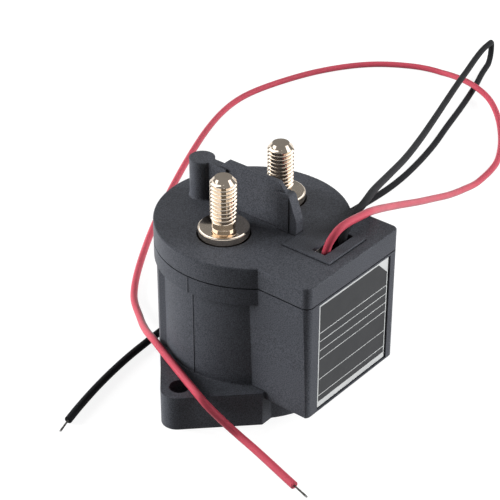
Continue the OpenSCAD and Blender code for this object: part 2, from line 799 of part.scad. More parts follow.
module armature() color(steel) difference() {
    translate([0, 0, armature_z]) cylinder(r = armature_r, h = armature_h);
    translate([0, 0, armature_z - cut]) cylinder(r = shaft_r, h = armature_h + 2 * cut);
    translate([0, 0, armature_top - spring_seat]) cylinder(r = seat_r, h = spring_seat + cut);
}

module return_spring() color(steel)
    coil_spring(armature_top - spring_seat, core_z + spring_seat,
        shaft_r + spring_room + return_wire, return_wire, 5);

module fixed_core() color(steel) difference() {
    translate([0, 0, core_z]) cylinder(r = sleeve_in - seat_gap, h = ring_z - core_z);
    translate([0, 0, core_z - cut]) cylinder(r = shaft_r + run_gap, h = ring_z - core_z + 2 * cut);
    translate([0, 0, core_z - cut]) cylinder(r = seat_r, h = spring_seat + cut);
}

module plunger_sleeve() color(silver) translate([0, 0, coil_z]) difference() {
    cylinder(r = sleeve_r, h = bobbin_h);
    translate([0, 0, sleeve_wall]) cylinder(r = sleeve_in, h = bobbin_h);
}

module coil_bobbin() color(bobbin_white) translate([0, 0, coil_z]) difference() {
    union() {
        cylinder(r = bobbin_out, h = bobbin_h);
        cylinder(r = bobbin_r, h = bobbin_flange);
        translate([0, 0, bobbin_h - bobbin_flange]) cylinder(r = bobbin_r, h = bobbin_flange);
    }
    translate([0, 0, -cut]) cylinder(r = bobbin_in, h = bobbin_h + 2 * cut);
    translate([0, 0, -coil_z]) pin_pair(pin_d / 2 + 0.02, cut);
}

module coil_winding() color(copper) translate([0, 0, coil_z + bobbin_flange + seat_gap])
    ring(winding_r, bobbin_out + seat_gap, bobbin_h - 2 * bobbin_flange - 2 * seat_gap);

// Two pins from the bobbin's upper flange forward to the circuit board
module pin_pair(r, grow) {
    start = -bobbin_r + pin_depth;
    for (side = [-1, 1])
        translate([side * pin_span / 2, board_back - grow, plate_z - bobbin_flange / 2])
            rotate([-90, 0, 0]) cylinder(r = r, h = start - board_back + grow, $fn = 32);
}

module coil_pins() color(tinned) pin_pair(pin_d / 2, 0);

module yoke_cup() color(steel) difference() {
    translate([0, 0, yoke_z]) cylinder(r = yoke_r, h = plate_z - yoke_z);
    translate([0, 0, coil_z]) cylinder(r = yoke_in, h = bobbin_h + cut);
    translate([-pin_span * 0.8, -yoke_r - cut, plate_z - bobbin_flange * 4])
        cube([pin_span * 1.6, yoke_r, bobbin_flange * 4 + cut]);
}

module yoke_plate() color(steel) translate([0, 0, plate_z])
    ring(yoke_r, sleeve_in, yoke_plate_t);

module blow_out_magnet(side) color(magnet_grey)
    translate([side * (chamber_flat + seat_gap + magnet_t / 2), 0, chamber_z + magnet_lift + magnet_h / 2])
        cube([magnet_t, magnet_w, magnet_h], center = true);

// Filling tube, open into the chamber and pinched flat at its upper end
module gas_tube() color(copper) difference() {
    translate([0, tube_y, chamber_top_z - chamber_top])
        cylinder(d = tube_d, h = cover_z + tube_rise - chamber_top_z + chamber_top, $fn = 48);
    translate([0, tube_y, chamber_top_z - chamber_top - cut])
        cylinder(d = tube_d - 2 * tube_wall, h = cover_z + tube_rise - chamber_top_z - tube_wall, $fn = 48);
    for (side = [-1, 1])
        translate([-tube_d, tube_y + side * tube_d * 0.55 - tube_d / 4, cover_z + tube_rise - pinch_h])
            cube([2 * tube_d, tube_d / 2, pinch_h + cut]);
}

module circuit_board() color(board_green)
    translate([-board_x, board_front, box_in_z]) cube([2 * board_x, board_t, board_h]);

// A part that stands on the board's front face
module on_board(x, z) {
    translate([x, board_front, box_in_z + z]) rotate([90, 0, 0]) children();
}

module filter_capacitor() color(steel) on_board(8, 20) cylinder(d = capacitor_d, h = capacitor_h, $fn = 64);

module drive_transistor() color(chip_black) on_board(-12, 14) cube([6.5, 6.1, 2.3]);

module flyback_diode() color(chip_black) on_board(-2, 8) cube([4.6, 2.6, 2.2]);

module red_lead() color(lead_red) swept_tube(red_route, lead_d, lead_sides);

module black_lead() color(lead_black) swept_tube(black_route, lead_d, lead_sides);

module lead_tip(route, end) color(tinned)
    swept_tube([route[len(route) - 1], end], strand_d, lead_sides);

housing();
top_cover();
lead_exit_plate();
label_plate();
terminal_stud(-1);  // terminal_stud_left
terminal_stud(1);  // terminal_stud_right
arc_chamber();
chamber_ring();
fixed_tips();
contact_bridge();
bridge_tips();
bridge_clip();
contact_spring();
plunger_shaft();
armature();
return_spring();
fixed_core();
plunger_sleeve();
coil_bobbin();
coil_winding();
coil_pins();
yoke_cup();
yoke_plate();
blow_out_magnet(-1);  // magnet_left
blow_out_magnet(1);  // magnet_right
gas_tube();
circuit_board();
filter_capacitor();
drive_transistor();
flyback_diode();
red_lead();
black_lead();
lead_tip(red_route, red_end);  // red_lead_tip
lead_tip(black_route, black_end);  // black_lead_tip
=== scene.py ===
import math

import bmesh
import bpy
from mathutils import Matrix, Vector


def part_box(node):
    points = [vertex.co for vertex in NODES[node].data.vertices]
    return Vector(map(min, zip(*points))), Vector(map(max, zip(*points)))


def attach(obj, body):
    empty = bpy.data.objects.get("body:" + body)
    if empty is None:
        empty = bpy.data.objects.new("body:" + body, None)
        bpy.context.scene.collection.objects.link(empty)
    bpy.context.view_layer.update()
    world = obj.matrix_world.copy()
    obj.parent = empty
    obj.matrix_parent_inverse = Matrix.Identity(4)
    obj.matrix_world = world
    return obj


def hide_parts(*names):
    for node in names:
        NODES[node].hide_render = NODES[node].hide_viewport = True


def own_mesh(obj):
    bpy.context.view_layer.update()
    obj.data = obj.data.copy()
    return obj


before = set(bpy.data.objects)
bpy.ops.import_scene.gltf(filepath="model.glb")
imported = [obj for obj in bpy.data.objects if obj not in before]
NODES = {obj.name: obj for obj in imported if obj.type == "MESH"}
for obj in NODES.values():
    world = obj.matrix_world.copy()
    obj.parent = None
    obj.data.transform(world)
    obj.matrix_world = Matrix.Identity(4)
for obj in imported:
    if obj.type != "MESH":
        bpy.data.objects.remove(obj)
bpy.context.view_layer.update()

MM = 0.001

# View of the photograph: the camera's bearing, height and distance from the point it looks at
VIEW_AZIMUTH = -50.52
VIEW_ELEVATION = 32.34
VIEW_DISTANCE = 502.82
VIEW_TARGET = (-1.17, 0, 41.95)
SENSOR = 36
LENS = 121.33

# Lamps: each one's turn from the camera's bearing and its height in degrees, its power in watts
LEFT_LAMP = {"turn": -97, "height": 15, "power": 20.5}
RIGHT_LAMP = {"turn": 85, "height": 20, "power": 14.5}
LAMP_AIM = (0, 0, 35)
LAMP_DISTANCE = 900
LAMP_SIZE = 600
AMBIENT = 0.14

# Table, half its side and how far it lies below the object, in millimetres
FLOOR_HALF = 3000
FLOOR_DROP = 0.05
FLOOR_GREY = 0.2
FLOOR_GLOW = 0.88

# Terminal thread and the turned form round it, in millimetres
STUD_X = 13.1
PITCH = 1.25
THREAD_R = 4.0
ROOT_R = 3.32
NECK_R = 3.45
FLANGE_R = 7.65
SHOULDER_R = 6.0
END_R = 2.55
SHANK_Z = 44.3
SHOULDER_Z = 50.4
FLANGE_LOW = 52.7
FLANGE_TOP = 56.2
THREAD_LOW = 58.3
THREAD_TOP = 70.8
STUD_TOP = 72.4
AXIS_R = 0.01
FLANGE_CHAMFER = 0.2
FLANGE_EDGE = 0.55
NECK_FILLET = 0.08
NECK_RUN_OUT = 0.05
LEAD_IN_SLOPE = 4
END_RIM = 0.25
END_DISH = 0.05

# Springs, in millimetres: their seats while the contacts are open
SPRING_SIDES = 12
SPRING_STEPS = 24
SPRING_GAP = 0.03
RETURN_SPRING = {"seats": (13.15, 22.4), "radius": 2.95, "wire": 0.6, "turns": 5}
CONTACT_SPRING = {"seats": (35.08, 38.88), "radius": 3.05, "wire": 0.7, "turns": 3}

# Nameplate, in millimetres
PLATE_BORDER = 0.6
PLATE_RIGHT = 0.45
PLATE_STRIP = 1.9
PLATE_CUT = 4.3
RULE_HEIGHTS = (35.9, 33.0, 29.8, 26.8, 19.7, 13.9)
RULE_W = 0.22
PRINT_T = 0.04
FIELD_SINK = 0.02
RULE_SINK = 0.01

# Leads, in millimetres: up from the board, through the slot, over the box, down and along the floor
LEAD_D = 2.4
LEAD_LIFT = 0.1
RED_ROUTE = [
    (-2.2, -28.3, 44), (-2.2, -28.6, 51.4), (-1.9, -29.5, 55.9), (-0.6, -30.3, 58.6),
    (1.9, -30.6, 60), (5.5, -30.5, 60.1), (11, -29.7, 58.8), (21, -27.7, 55.7),
    (45.5, -19, 42.9), (71, -11.5, 29.9), (89, -6, 20.9), (106, -1.5, 12.9), (122, 2.5, 6.4),
    (137, 5.3, 2), (152.5, 8, 1.3), (164, 13, 1.3), (176, 20.5, 1.3), (186.5, 29, 2),
    (193, 37, 3.4), (197.5, 46.5, 4), (201, 56, 3.2), (204, 67, 1.3), (201, 80, 1.3),
    (191, 94.5, 1.3), (174, 106, 1.3), (152.5, 113.5, 1.3), (134, 116, 1.3), (115, 112.5, 1.3),
    (88.5, 102, 1.3), (51, 83.5, 1.3), (22.5, 67, 1.3), (3, 53, 1.3), (-9, 39, 4.4),
    (-18, 28, 9.3), (-24, 19, 12.9), (-28, 10, 12.9), (-34, -4, 12.9), (-36.3, -9.8, 12.7),
    (-36.2, -12.8, 10.6), (-34, -17.2, 5.5), (-33, -23, 2), (-39.3, -47.5, 1.3)]
RED_END = (-41, -53.5, 1.3)
BLACK_ROUTE = [
    (6, -28.3, 44), (6, -28.4, 50.6), (6.7, -28.4, 54.2), (8.7, -28, 55.9),
    (12, -27, 56.3), (17.8, -24.8, 55.8), (24.8, -22.5, 54.8), (38, -16.5, 50.9),
    (62, -5.7, 41.9), (88, 5.5, 32.9), (114, 16.8, 25.4), (138, 27, 19.9), (161, 36.3, 15.9),
    (179.5, 43.2, 13.7), (193.5, 48, 12.4), (205.5, 52, 11.7), (216, 55, 11.2),
    (222.4, 56.1, 10.9), (225.7, 57.3, 9.6), (227, 57.8, 6.1), (225.7, 57.3, 2.7),
    (222.4, 56.1, 1.3), (214, 53.5, 1.3), (201.5, 49, 1.3), (183.5, 43.5, 1.3),
    (166, 38.7, 1.3), (150, 34.2, 1.3), (135, 31, 1.3), (121, 29, 1.3), (108, 28.5, 1.3),
    (80, 30, 1.3), (50, 33, 1.3), (20, 34.5, 1.3), (-2, 32.5, 1.3), (-13.5, 31.5, 1.3),
    (-23.5, 30.5, 1.3), (-33, 29, 1.3), (-42.5, 27, 1.3), (-52, 24.5, 1.3), (-58.5, 22.5, 1.3)]
BLACK_END = (-64, 20.5, 1.3)

# Bare lead ends: one straight strand with others laid round it, in millimetres and degrees
STRANDS = 7
STRAND_R = 0.09
STRAND_LAY = 2.15
STRAND_TWIST = 190
STRAND_SPREAD = 0.35
STRAND_STAGGER = 0.05
STRAND_TAPER = 0.6
STRAND_ROOT = 0.3
STRAND_STEPS = 14
STRAND_SIDES = 8


def metres(point):
    return Vector(point) * MM


# Materials: noise scales are features per metre, depths and reaches are in millimetres

GRAIN_SCALE = 3100
GRAIN_DEPTH = 0.03
# Painted shade in crevices: how far ambient occlusion looks, the darkest share of the colour, and its
# samples
PAINTED_SHADE_REACH = 0.5
PAINTED_SHADE_DARKEST = 0.2
PAINTED_SHADE_SAMPLES = 8
EDGE_SAMPLES = 6
MATT_SPECULAR = 0.13


class Shader:
    """A material whose nodes are added one after another."""

    def __init__(self, name):
        self.material = bpy.data.materials.new(name)
        self.material.use_nodes = True
        self.tree = self.material.node_tree
        self.surface = self.tree.nodes["Principled BSDF"]
        coordinates = self.add("ShaderNodeTexCoord")
        self.place = coordinates.outputs["Object"]

    def add(self, kind, **settings):
        node = self.tree.nodes.new(kind)
        for key, value in settings.items():
            setattr(node, key, value)
        return node

    def link(self, output, target):
        self.tree.links.new(output, target)

    def set(self, **values):
        for key, value in values.items():
            self.surface.inputs[key.replace("_", " ")].default_value = value

    def noise(self, scale, detail=3.0, stretch=(1, 1, 1)):
        mapping = self.add("ShaderNodeMapping")
        mapping.inputs["Scale"].default_value = stretch
        self.link(self.place, mapping.inputs["Vector"])
        noise = self.add("ShaderNodeTexNoise")
        noise.inputs["Scale"].default_value = scale
        noise.inputs["Detail"].default_value = detail
        self.link(mapping.outputs["Vector"], noise.inputs["Vector"])
        return noise.outputs["Fac"]

    def ramp(self, value, low, high, start=0.35, end=0.65):
        """Colour that goes from low to high while the value goes from start to end."""
        ramp = self.add("ShaderNodeValToRGB")
        first, last = ramp.color_ramp.elements
        first.position, last.position = start, end
        first.color, last.color = (*low, 1), (*high, 1)
        self.link(value, ramp.inputs["Fac"])
        return ramp.outputs["Color"]

    def times(self, first, second):
        product = self.add("ShaderNodeMix", data_type="RGBA", blend_type="MULTIPLY")
        product.inputs["Factor"].default_value = 1.0
        self.link(first, product.inputs["A"])
        self.link(second, product.inputs["B"])
        return product.outputs["Result"]

    def painted_crevice_shade(self, reach_mm):
        """Painted shade from ambient occlusion: near 1 on open faces, falling where faces meet or a
        joint gapes.
        """
        shade_occlusion = self.add("ShaderNodeAmbientOcclusion", samples=PAINTED_SHADE_SAMPLES)
        shade_occlusion.inputs["Distance"].default_value = reach_mm * MM
        return shade_occlusion.outputs["AO"]

    def span(self, value, low, high):
        spread = self.add("ShaderNodeMapRange")
        spread.inputs["To Min"].default_value = low
        spread.inputs["To Max"].default_value = high
        self.link(value, spread.inputs["Value"])
        return spread.outputs["Result"]

    def colour(self, value):
        self.link(value, self.surface.inputs["Base Color"])

    def mottle(self, colour, scale, detail, low, high):
        """Base colour that wanders between two shares of itself."""
        self.colour(self.ramp(self.noise(scale, detail), lighter(colour, low), lighter(colour, high)))

    def rough(self, value, low, high):
        self.link(self.span(value, low, high), self.surface.inputs["Roughness"])

    def bump(self, height, depth_mm, strength=1.0, edge_mm=0.0):
        bump = self.add("ShaderNodeBump")
        bump.inputs["Distance"].default_value = depth_mm * MM
        bump.inputs["Strength"].default_value = strength
        self.link(height, bump.inputs["Height"])
        if edge_mm:
            bevel = self.add("ShaderNodeBevel", samples=EDGE_SAMPLES)
            bevel.inputs["Radius"].default_value = edge_mm * MM
            self.link(bevel.outputs["Normal"], bump.inputs["Normal"])
        self.link(bump.outputs["Normal"], self.surface.inputs["Normal"])


def lighter(colour, share):
    return tuple(min(1.0, channel * share) for channel in colour)


def grey(level):
    return (level, level, level)


def moulded_plastic(name, colour, roughness, edge_mm=0.2, contrast=0.38):
    """Matt glass-filled plastic: fine spark-eroded grain, slight clouding, and painted shade that
    darkens the colour in crevices.
    """
    s = Shader(name)
    cloud = s.noise(scale=60, detail=4)
    grain = s.noise(GRAIN_SCALE, detail=2)
    tint = s.ramp(cloud, lighter(colour, 0.93), lighter(colour, 1.07))
    speckle = s.ramp(grain, grey(1 - contrast), grey(1 + contrast))
    # Painted shade: the colour darkens where faces meet or a joint gapes
    shade = s.ramp(s.painted_crevice_shade(PAINTED_SHADE_REACH), grey(PAINTED_SHADE_DARKEST), grey(1), start=0.35, end=0.85)
    s.colour(s.times(s.times(tint, speckle), shade))
    s.rough(s.noise(scale=900, detail=2), roughness - 0.05, roughness + 0.06)
    s.set(Specular_IOR_Level=MATT_SPECULAR)
    s.bump(grain, GRAIN_DEPTH, strength=0.5, edge_mm=edge_mm)
    return s.material


def turned_metal(name, colour, roughness, lines=1800, depth_mm=0.004):
    """Plated metal with faint lathe lines across the axis."""
    s = Shader(name)
    s.mottle(colour, scale=180, detail=3, low=0.94, high=1.05)
    turning = s.noise(lines, detail=2, stretch=(0.04, 0.04, 1))
    s.rough(turning, roughness - 0.03, roughness + 0.05)
    s.set(Metallic=1.0)
    s.bump(turning, depth_mm, strength=0.4)
    return s.material


def plain_metal(name, colour, roughness):
    """Rolled or pressed metal with a fine directionless finish."""
    s = Shader(name)
    s.mottle(colour, scale=300, detail=4, low=0.9, high=1.06)
    s.rough(s.noise(scale=700, detail=2), roughness - 0.06, roughness + 0.08)
    s.set(Metallic=1.0)
    s.bump(s.noise(scale=1500, detail=2), depth_mm=0.006, strength=0.4)
    return s.material


def insulation(name, colour, roughness, specular):
    """Soft extruded lead insulation with fine flow marks."""
    s = Shader(name)
    s.mottle(colour, scale=45, detail=4, low=0.92, high=1.08)
    s.rough(s.noise(scale=350, detail=3), roughness - 0.06, roughness + 0.08)
    s.set(Specular_IOR_Level=specular)
    s.bump(s.noise(scale=900, detail=2), depth_mm=0.012, strength=0.35)
    return s.material


def matt(name, colour, roughness, scale=400, depth_mm=0.015, specular=0.5):
    """Fired, sintered, coated or printed surface."""
    s = Shader(name)
    s.mottle(colour, scale=scale / 5, detail=4, low=0.94, high=1.05)
    s.rough(s.noise(scale, detail=3), roughness - 0.05, roughness + 0.07)
    s.set(Specular_IOR_Level=specular)
    s.bump(s.noise(scale * 4, detail=2), depth_mm, strength=0.4)
    return s.material


def wound_wire(name, colour, turn_mm):
    """Enamelled wire laid in close turns along the axis, with painted shade between the turns."""
    s = Shader(name)
    turns = s.add("ShaderNodeTexWave", wave_type="BANDS", bands_direction="Z", wave_profile="SIN")
    turns.inputs["Scale"].default_value = 1 / (turn_mm * MM * 20)
    turns.inputs["Distortion"].default_value = 0.4
    s.link(s.place, turns.inputs["Vector"])
    height = turns.outputs["Fac"]
    # Painted shade in the hollows between turns and a lighter colour on their crowns
    s.colour(s.ramp(height, lighter(colour, 0.6), lighter(colour, 1.1), start=0.1, end=0.8))
    s.set(Metallic=0.9, Roughness=0.3)
    s.bump(height, depth_mm=0.08, strength=0.8)
    return s.material


PLASTIC = moulded_plastic("moulded_charcoal", (0.05, 0.053, 0.062), 0.5)
LID_PLASTIC = moulded_plastic("moulded_charcoal_lid", (0.052, 0.055, 0.064), 0.5)
BRASS = turned_metal("plated_brass", (0.88, 0.76, 0.63), 0.08)
PALE_PRINT = matt("nameplate_pale", (0.45, 0.46, 0.46), 0.42, 600, 0.006, specular=0.15)
DARK_PRINT = matt("nameplate_dark", (0.036, 0.037, 0.039), 0.42, 600, 0.006, specular=0.08)
RED_PVC = insulation("red_insulation", (0.38, 0.05, 0.075), 0.42, specular=0.25)
BLACK_PVC = insulation("black_insulation", (0.014, 0.0145, 0.016), 0.6, specular=0.05)
TINNED = plain_metal("tinned_copper", (0.72, 0.7, 0.67), 0.28)
BARE_WIRE = plain_metal("dull_strands", (0.17, 0.165, 0.155), 0.55)
INNER_FINISH = {
    "ceramic": matt("white_ceramic", (0.82, 0.8, 0.76), 0.35),
    "steel": plain_metal("bright_steel", (0.6, 0.6, 0.62), 0.3),
    "spring": plain_metal("spring_steel", (0.5, 0.5, 0.52), 0.25),
    "iron": plain_metal("soft_iron", (0.42, 0.42, 0.44), 0.4),
    "silver": plain_metal("silver_alloy", (0.8, 0.79, 0.76), 0.35),
    "copper": plain_metal("bare_copper", (0.75, 0.4, 0.26), 0.3),
    "winding": wound_wire("enamelled_wire", (0.62, 0.26, 0.1), 0.4),
    "bobbin": moulded_plastic("bobbin_plastic", (0.72, 0.7, 0.64), 0.5, edge_mm=0, contrast=0.06),
    "magnet": plain_metal("sintered_magnet", (0.3, 0.3, 0.32), 0.5),
    "board": matt("board_lacquer", (0.03, 0.14, 0.06), 0.3, scale=500),
    "chip": matt("moulded_chip", (0.02, 0.02, 0.022), 0.5, scale=700),
}
INNER_NODES = {
    "arc_chamber": "ceramic", "chamber_ring": "steel", "fixed_tips": "silver",
    "contact_bridge": "copper", "bridge_tips": "silver", "bridge_clip": "spring",
    "plunger_shaft": "steel", "armature": "iron", "fixed_core": "iron", "plunger_sleeve": "steel",
    "coil_bobbin": "bobbin", "coil_winding": "winding", "yoke_cup": "iron", "yoke_plate": "iron",
    "magnet_left": "magnet", "magnet_right": "magnet", "gas_tube": "copper",
    "circuit_board": "board", "filter_capacitor": "steel", "drive_transistor": "chip",
    "flyback_diode": "chip",
}


# Mesh helpers

def paint(piece, material):
    piece.data.materials.clear()
    piece.data.materials.append(material)


def finished(name, mesh, material, sharp=35, body="base"):
    """Object of a mesh, shaded smooth between its sharp edges, that rides on a body."""
    for face in mesh.polygons:
        face.use_smooth = True
    mesh.set_sharp_from_angle(angle=math.radians(sharp))
    piece = bpy.data.objects.new(name, mesh)
    bpy.context.scene.collection.objects.link(piece)
    paint(piece, material)
    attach(piece, body)
    return piece


def mesh_from(name, build):
    mesh = bpy.data.meshes.new(name)
    bm = bmesh.new()
    build(bm)
    bmesh.ops.remove_doubles(bm, verts=bm.verts, dist=1e-7)
    bmesh.ops.recalc_face_normals(bm, faces=bm.faces)
    bm.to_mesh(mesh)
    bm.free()
    return mesh


def add_rings(bm, rings):
    """Skin over rings that have the same number of points, closed at both ends."""
    loops = [[bm.verts.new(p) for p in ring] for ring in rings]
    count = len(loops[0])
    for low, high in zip(loops, loops[1:]):
        for k in range(count):
            n = (k + 1) % count
            bm.faces.new((low[k], low[n], high[n], high[k]))
    bm.faces.new(list(reversed(loops[0])))
    bm.faces.new(loops[-1])


# Terminals

SEGMENTS = 96
CREST = 0.25
ROOT = 0.85
# Rows of one turn, as shares of the pitch: the root, the flanks' edges and middles, the crest
TURN_ROWS = (0, (1 - ROOT) / 2, (2 - ROOT - CREST) / 4, (1 - CREST) / 2, (2 - CREST) / 4, 0.5,
             (2 + CREST) / 4, (1 + CREST) / 2, (2 + ROOT + CREST) / 4, (1 + ROOT) / 2)
CREST_DROP = 0.05


def thread_radius(z, angle):
    """Radius of a 60 degree thread with flat crests and round roots, trimmed by both ends' chamfers."""
    phase = ((z - THREAD_LOW) / PITCH - angle / (2 * math.pi)) % 1.0
    from_crest = abs(phase - 0.5) * 2
    t = min(max((from_crest - CREST) / (ROOT - CREST), 0.0), 1.0)
    rounding = CREST_DROP * min(from_crest / CREST, 1.0) ** 2
    radius = THREAD_R - rounding - (THREAD_R - CREST_DROP - ROOT_R) * t
    lead_in = NECK_R + (z - THREAD_LOW) * LEAD_IN_SLOPE
    chamfer = END_R + (STUD_TOP - z) * (THREAD_R - END_R) / (STUD_TOP - THREAD_TOP)
    return min(radius, max(lead_in, ROOT_R), chamfer)


def quarter(centre_r, centre_z, radius, steps):
    """Quarter circle from beside its centre to above it, or to the other sides for a negative radius."""
    points = []
    for k in range(steps + 1):
        a = math.radians(90 * k / steps)
        points.append((centre_r + radius * math.cos(a), centre_z + radius * math.sin(a)))
    return points


def turned_profile():
    """Radius and height along the turned form, from the hidden shank up over the flange to the neck."""
    edge = quarter(FLANGE_R - FLANGE_EDGE, FLANGE_TOP - FLANGE_EDGE, FLANGE_EDGE, 6)
    fillet = quarter(NECK_R + NECK_FILLET, FLANGE_TOP + NECK_FILLET, -NECK_FILLET, 5)
    return [
        (AXIS_R, SHANK_Z), (THREAD_R, SHANK_Z), (THREAD_R, SHOULDER_Z), (SHOULDER_R, SHOULDER_Z),
        (SHOULDER_R, FLANGE_LOW), (FLANGE_R - FLANGE_CHAMFER, FLANGE_LOW),
        (FLANGE_R, FLANGE_LOW + FLANGE_CHAMFER), *edge, *reversed(fillet),
        (NECK_R, THREAD_LOW - NECK_RUN_OUT)]


def stud_rings(x):
    """Rings over the turned form, along the helix and over the dished end."""
    angles = [2 * math.pi * k / SEGMENTS for k in range(SEGMENTS)]
    rings = []
    for radius, z in turned_profile():
        rings.append([metres((x + radius * math.cos(a), radius * math.sin(a), z)) for a in angles])
    turns = int((STUD_TOP - THREAD_LOW) / PITCH + 1)
    for row in [turn + share for turn in range(-1, turns + 1) for share in TURN_ROWS]:
        ring = []
        for a in angles:
            z = THREAD_LOW + PITCH * (row + a / (2 * math.pi))
            z = min(max(z, THREAD_LOW), STUD_TOP)
            radius = thread_radius(z, a)
            ring.append(metres((x + radius * math.cos(a), radius * math.sin(a), z)))
        rings.append(ring)
    dished = ((END_R - END_RIM, STUD_TOP), (AXIS_R, STUD_TOP - END_DISH))
    for radius, z in dished:
        rings.append([metres((x + radius * math.cos(a), radius * math.sin(a), z)) for a in angles])
    return rings


def add_stud(side, node):
    mesh = mesh_from(node + "_threaded", lambda bm: add_rings(bm, stud_rings(side * STUD_X)))
    piece = finished(node + "_threaded", mesh, BRASS, sharp=28)
    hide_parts(node)


# Springs

def coil_rings(seats, radius, wire, turns):
    """Rings along a coil of round wire that stands between two seats."""
    low, high = seats
    steps = turns * SPRING_STEPS
    first = low + SPRING_GAP + wire / 2
    rise = high - low - 2 * SPRING_GAP - wire
    rings = []
    for i in range(steps + 1):
        a = 2 * math.pi * i / SPRING_STEPS
        z = first + rise * i / steps
        ring = []
        for k in range(SPRING_SIDES):
            b = 2 * math.pi * k / SPRING_SIDES
            r = radius + wire / 2 * math.cos(b)
            ring.append(metres((r * math.cos(a), r * math.sin(a), z + wire / 2 * math.sin(b))))
        rings.append(ring)
    return rings


def add_spring(node, coil, body):
    """Coil between its seats, riding on the given body."""
    name = node + "_coil"
    mesh = mesh_from(name, lambda bm: add_rings(bm, coil_rings(**coil)))
    piece = finished(name, mesh, INNER_FINISH["spring"], sharp=50, body=body)
    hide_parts(node)
    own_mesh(piece)


# Leads

def above_floor(point):
    return Vector((point.x, point.y, max(point.z, (LEAD_D / 2 + LEAD_LIFT) * MM)))


def lead_curve(name, route, material):
    curve = bpy.data.curves.new(name, "CURVE")
    curve.dimensions = "3D"
    curve.bevel_depth = LEAD_D / 2 * MM
    curve.bevel_resolution = 5
    curve.resolution_u = 10
    curve.use_fill_caps = True
    spline = curve.splines.new("BEZIER")
    spline.bezier_points.add(len(route) - 1)
    points = [metres(p) for p in route]
    for i, knot in enumerate(spline.bezier_points):
        before = points[max(i - 1, 0)]
        after = points[min(i + 1, len(points) - 1)]
        heading = (after - before).normalized()
        knot.handle_left_type = knot.handle_right_type = "FREE"
        knot.co = points[i]
        knot.handle_left = above_floor(points[i] - heading * (points[i] - before).length / 3)
        knot.handle_right = above_floor(points[i] + heading * (after - points[i]).length / 3)
    piece = bpy.data.objects.new(name, curve)
    bpy.context.scene.collection.objects.link(piece)
    curve.materials.append(material)
    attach(piece, "base")
    return piece


def strand_rings(start, heading, side, up, index, length):
    """Rings of one fine wire that twists round the lead's middle and spreads a little at its end."""
    lay = STRAND_LAY * STRAND_R if index else 0
    rings = []
    for i in range(STRAND_STEPS + 1):
        t = i / STRAND_STEPS
        a = math.radians(360 / (STRANDS - 1) * index + STRAND_TWIST * t)
        spread = lay * (1 + STRAND_SPREAD * t * t)
        along = length * t * (1 - STRAND_STAGGER * (index % 3))
        centre = start + heading * along + side * spread * math.cos(a) + up * spread * math.sin(a)
        r = STRAND_R * (STRAND_TAPER if i in (0, STRAND_STEPS) else 1)
        ring = []
        for k in range(STRAND_SIDES):
            b = 2 * math.pi * k / STRAND_SIDES
            ring.append((centre + side * r * math.cos(b) + up * r * math.sin(b)) * MM)
        rings.append(ring)
    return rings


def add_strands(name, start, end, node):
    start, end = Vector(start), Vector(end)
    heading = (end - start).normalized()
    side = heading.cross(Vector((0, 0, 1))).normalized()
    up = side.cross(heading)
    root = start - heading * STRAND_ROOT
    length = (end - start).length + STRAND_ROOT

    def build(bm):
        for index in range(STRANDS):
            add_rings(bm, strand_rings(root, heading, side, up, index, length))

    piece = finished(name, mesh_from(name, build), BARE_WIRE, sharp=50)
    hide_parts(node)
    return piece


def add_lead(colour, route, end, material):
    strands = add_strands(colour + "_lead_strands", route[-1], end, colour + "_lead_tip")
    lead = lead_curve(colour + "_lead_insulation", route, material)
    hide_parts(colour + "_lead")


# Nameplate

def add_slab(bm, outline, y_back, y_front):
    """Thin plate with an outline in X and Z."""
    back = [Vector((x, y_back, z)) for x, z in outline]
    front = [Vector((x, y_front, z)) for x, z in outline]
    add_rings(bm, [back, front])


def add_nameplate():
    low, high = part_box("label_plate")
    face = low.y
    border = PLATE_BORDER * MM
    left, right = low.x + border, high.x - PLATE_RIGHT * MM
    bottom, top = low.z + PLATE_STRIP * MM, high.z - border
    corner = PLATE_CUT * MM
    field = [(left, bottom), (right, bottom), (right, top - corner), (right - corner, top), (left, top)]
    front = face - PRINT_T * MM
    back = face + FIELD_SINK * MM
    mesh = mesh_from("nameplate_field", lambda bm: add_slab(bm, field, back, front))
    finished("nameplate_field", mesh, DARK_PRINT)

    def rules(bm):
        half = RULE_W * MM / 2
        for height in RULE_HEIGHTS:
            z = height * MM
            strip = [(left, z - half), (right, z - half), (right, z + half), (left, z + half)]
            add_slab(bm, strip, front + RULE_SINK * MM, front - PRINT_T * MM)

    finished("nameplate_rules", mesh_from("nameplate_rules", rules), PALE_PRINT)
    paint(NODES["label_plate"], PALE_PRINT)


# Moulded shells keep their packed form

paint(NODES["housing"], PLASTIC)
paint(NODES["top_cover"], LID_PLASTIC)
paint(NODES["lead_exit_plate"], LID_PLASTIC)
paint(NODES["coil_pins"], TINNED)
for node, finish in INNER_NODES.items():
    paint(NODES[node], INNER_FINISH[finish])

add_stud(-1, "terminal_stud_left")
add_stud(1, "terminal_stud_right")
add_spring("return_spring", RETURN_SPRING, "base")
add_spring("contact_spring", CONTACT_SPRING, "plunger")
add_nameplate()
add_lead("red", RED_ROUTE, RED_END, RED_PVC)
add_lead("black", BLACK_ROUTE, BLACK_END, BLACK_PVC)


# Studio

def bearing(azimuth, elevation):
    """Direction from the object towards a camera or lamp."""
    a, e = math.radians(azimuth), math.radians(elevation)
    return Vector((math.sin(a) * math.cos(e), -math.cos(a) * math.cos(e), math.sin(e)))


def add_camera():
    data = bpy.data.cameras.new("camera")
    data.sensor_width = SENSOR
    data.lens = LENS
    camera = bpy.data.objects.new("camera", data)
    target = metres(VIEW_TARGET)
    away = bearing(VIEW_AZIMUTH, VIEW_ELEVATION)
    camera.location = target + away * VIEW_DISTANCE * MM
    camera.rotation_euler = (-away).to_track_quat("-Z", "Y").to_euler()
    bpy.context.scene.collection.objects.link(camera)
    bpy.context.scene.camera = camera


